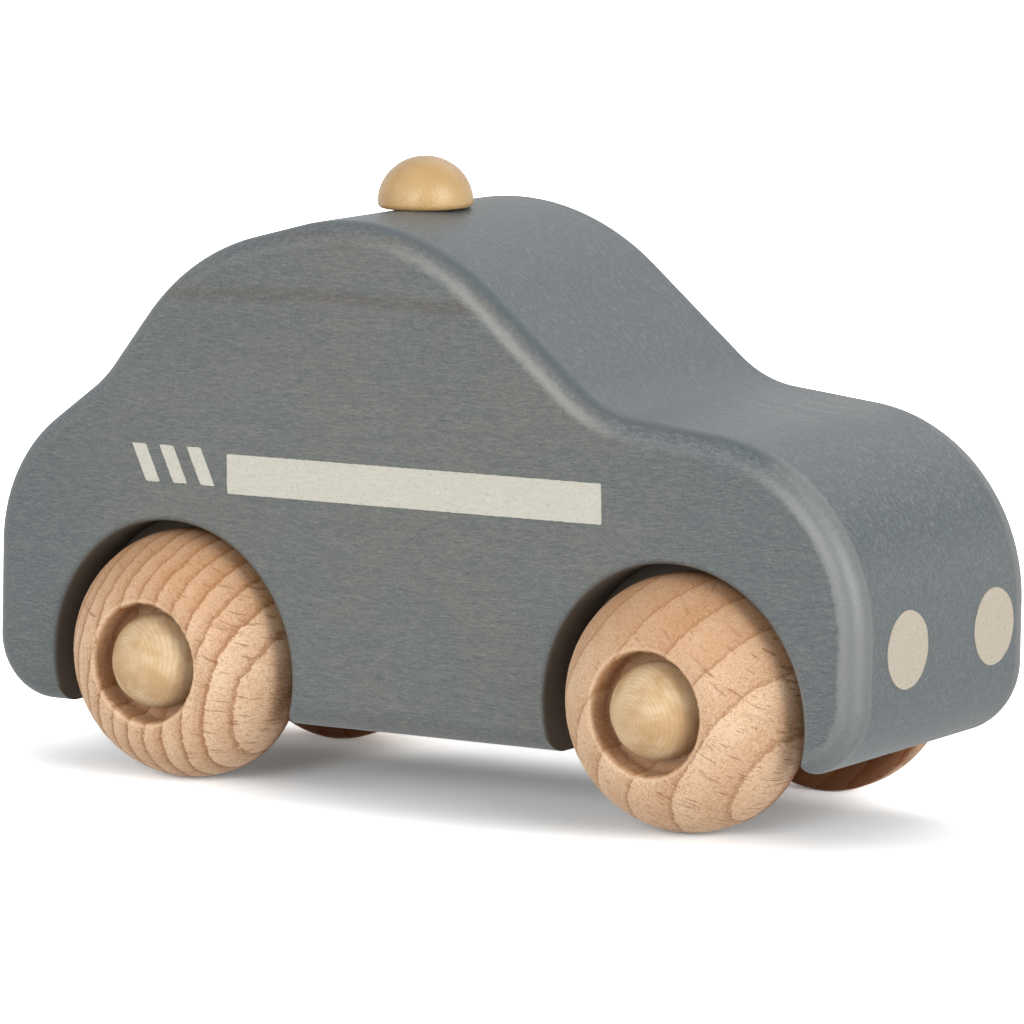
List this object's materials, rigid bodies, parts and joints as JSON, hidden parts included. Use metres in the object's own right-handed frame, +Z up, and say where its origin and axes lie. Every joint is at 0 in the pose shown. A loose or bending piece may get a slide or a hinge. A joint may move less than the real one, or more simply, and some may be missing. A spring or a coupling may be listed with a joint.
{
  "type": "toy police car",
  "caption": "Wooden push-along toy police car with free-rolling turned wheels on glued pegs, a domed roof beacon and printed side bars and headlights.",
  "frame": {"origin": "on the floor between the wheels, at the middle of the car's length and width", "axes": "+X the way the car faces, +Y to the car's left, +Z up"},
  "size_m": [0.1429, 0.0644, 0.0872],
  "materials": {
    "stained_wood": "blue-grey stain, satin, fine grain",
    "beech": "bare turned beech with growth rings",
    "peg_wood": "bare pale turned wood, end grain on the head",
    "mustard_paint": "satin mustard paint on wood",
    "cream_print": "matt cream printed film",
    "beige_print": "matt beige printed film"
  },
  "bodies": {
    "chassis": {"body": "stained_wood", "axle_peg_front_right": "peg_wood", "axle_peg_front_left": "peg_wood", "axle_peg_rear_right": "peg_wood", "axle_peg_rear_left": "peg_wood", "beacon": "mustard_paint", "stripe_right": "cream_print", "stripe_left": "cream_print", "slash_right_1": "cream_print", "slash_right_2": "cream_print", "slash_right_3": "cream_print", "slash_left_1": "cream_print", "slash_left_2": "cream_print", "slash_left_3": "cream_print", "headlight_right": "beige_print", "headlight_left": "beige_print"},
    "front_right_wheel": {"wheel_front_right": "beech"},
    "front_left_wheel": {"wheel_front_left": "beech"},
    "rear_right_wheel": {"wheel_rear_right": "beech"},
    "rear_left_wheel": {"wheel_rear_left": "beech"}
  },
  "joints": [
    {"name": "front_right_spin", "type": "hinge", "parent": "chassis", "child": "front_right_wheel", "pos_m": [0.0425, -0.0224, 0.0175], "axis": [0, 1, 0], "continuous": true},
    {"name": "front_left_spin", "type": "hinge", "parent": "chassis", "child": "front_left_wheel", "pos_m": [0.0425, 0.0224, 0.0175], "axis": [0, 1, 0], "continuous": true},
    {"name": "rear_right_spin", "type": "hinge", "parent": "chassis", "child": "rear_right_wheel", "pos_m": [-0.04, -0.0224, 0.0175], "axis": [0, 1, 0], "continuous": true},
    {"name": "rear_left_spin", "type": "hinge", "parent": "chassis", "child": "rear_left_wheel", "pos_m": [-0.04, 0.0224, 0.0175], "axis": [0, 1, 0], "continuous": true}
  ]
}
